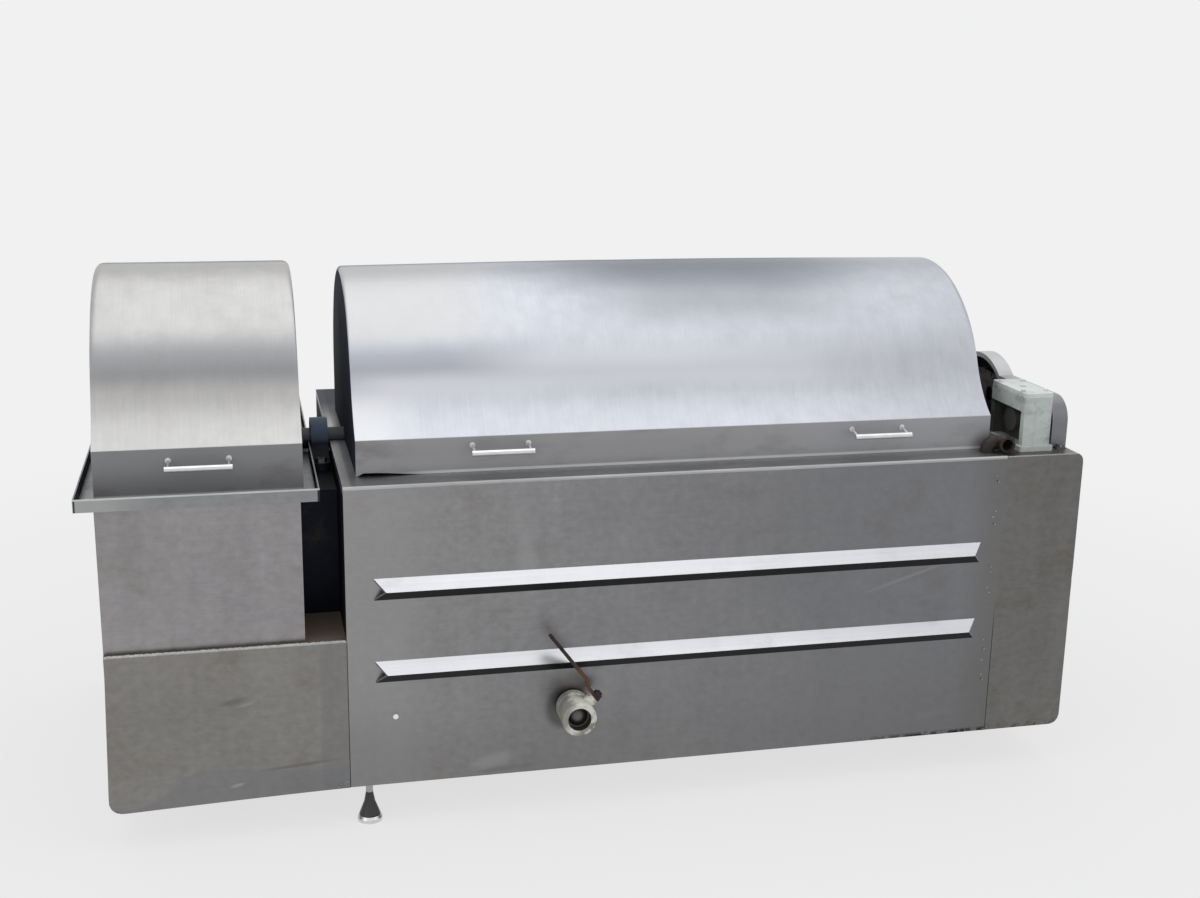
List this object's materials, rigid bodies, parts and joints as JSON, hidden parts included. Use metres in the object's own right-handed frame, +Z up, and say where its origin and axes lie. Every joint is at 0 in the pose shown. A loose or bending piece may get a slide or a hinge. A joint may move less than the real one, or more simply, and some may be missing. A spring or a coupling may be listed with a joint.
{
  "type": "rotary drum washer",
  "caption": "Rotary drum washer: long and short water tanks under hinged ogee hoods, bar drums on one chain-driven shaft, drain valve, water inlet.",
  "frame": {"origin": "centre of the footprint's bounding box, on the floor under the feet", "axes": "+X along the drums from the rinse tank to the drive, +Y from the drain side to the rear, +Z up"},
  "size_m": [2.305, 1.095, 1.228],
  "materials": {
    "panel_steel": "brushed stainless sheet, water-marked",
    "housing_steel": "brushed stainless sheet, browner",
    "hood_steel": "brushed stainless sheet, bright",
    "frame_steel": "stainless section, dull",
    "zinc_steel": "plated fasteners",
    "foot_rubber": "black rubber",
    "foot_steel": "polished",
    "valve_paint": "cream paint, worn",
    "valve_seat": "white seat ring",
    "gland_brass": "dull brass",
    "ball_steel": "polished",
    "lever_rust": "rusty flat bar",
    "pipe_rust": "rusty pipe",
    "bearing_blue": "blue enamel",
    "insert_steel": "ground steel",
    "drum_steel": "stainless bar, wet-worn",
    "shaft_steel": "turned steel",
    "chain_steel": "oiled dark steel",
    "guard_paint": "dark grey paint",
    "reducer_paint": "grey-green paint",
    "motor_paint": "blue-grey paint"
  },
  "bodies": {
    "machine": {"wash_tank": "panel_steel", "tank_rim": "panel_steel", "stiffener_ribs": "panel_steel", "base_box": "panel_steel", "rinse_tank": "panel_steel", "rinse_tray": "panel_steel", "bearing_bridge": "frame_steel", "transfer_chute": "frame_steel", "drive_housing": "housing_steel", "housing_panel": "housing_steel", "support_frame": "frame_steel", "cover_screws": "zinc_steel", "foot_studs": "zinc_steel", "foot_nuts": "zinc_steel", "foot_bells": "foot_rubber", "foot_pads": "foot_steel", "drain_nipple": "panel_steel", "valve_body": "valve_paint", "valve_end_ring": "valve_paint", "valve_seats": "valve_seat", "valve_gland": "gland_brass", "inlet_elbow": "pipe_rust", "spray_pipe": "frame_steel", "spray_nozzles": "frame_steel", "spray_brackets": "frame_steel", "left_bearing": "bearing_blue", "right_bearing": "bearing_blue", "bearing_inserts": "insert_steel", "bearing_bolts": "zinc_steel", "bearing_bracket": "frame_steel", "drive_chain": "chain_steel", "chain_guard": "guard_paint", "reducer_case": "reducer_paint", "reducer_cover": "reducer_paint", "drive_motor": "motor_paint", "fixed_hinges": "frame_steel"},
    "drum": {"drum_shaft": "shaft_steel", "wash_flight": "drum_steel", "rinse_flight": "drum_steel", "wash_bars": "drum_steel", "wash_hoops": "drum_steel", "wash_spiders": "drum_steel", "rinse_bars": "drum_steel", "rinse_hoops": "drum_steel", "rinse_spiders": "drum_steel", "drum_sprocket": "chain_steel"},
    "pinion": {"drive_pinion": "chain_steel", "output_shaft": "shaft_steel"},
    "valve_handle": {"valve_ball": "ball_steel", "valve_stem": "ball_steel", "valve_lever": "lever_rust", "lever_nut": "lever_rust"},
    "wash_hood_body": {"wash_hood": "hood_steel", "wash_hood_ends": "hood_steel", "wash_handles": "hood_steel", "wash_hinges": "frame_steel"},
    "rinse_hood_body": {"rinse_hood": "hood_steel", "rinse_hood_ends": "hood_steel", "rinse_handle": "hood_steel", "rinse_hinges": "frame_steel"}
  },
  "joints": [
    {"name": "drum_spin", "type": "hinge", "parent": "machine", "child": "drum", "pos_m": [-0.6025, -0.0095, 0.805], "axis": [1, 0, 0], "continuous": true},
    {"name": "pinion_spin", "type": "hinge", "parent": "machine", "child": "pinion", "pos_m": [1.1175, -0.33668, 0.865], "axis": [1, 0, 0], "continuous": true},
    {"name": "wash_hood_hinge", "type": "hinge", "parent": "machine", "child": "wash_hood_body", "pos_m": [0.1875, 0.309, 0.8135], "axis": [-1, 0, 0], "range_deg": [0, 90]},
    {"name": "rinse_hood_hinge", "type": "hinge", "parent": "machine", "child": "rinse_hood_body", "pos_m": [-0.8985, 0.309, 0.7885], "axis": [-1, 0, 0], "range_deg": [0, 90]},
    {"name": "valve_turn", "type": "hinge", "parent": "machine", "child": "valve_handle", "pos_m": [-0.0955, -0.5015, 0.263], "axis": [0.7986, 0, 0.6018], "range_deg": [0, 90]}
  ],
  "couplings": [
    {"joint": "pinion_spin", "follows": "drum_spin", "ratio": 3.1429}
  ]
}
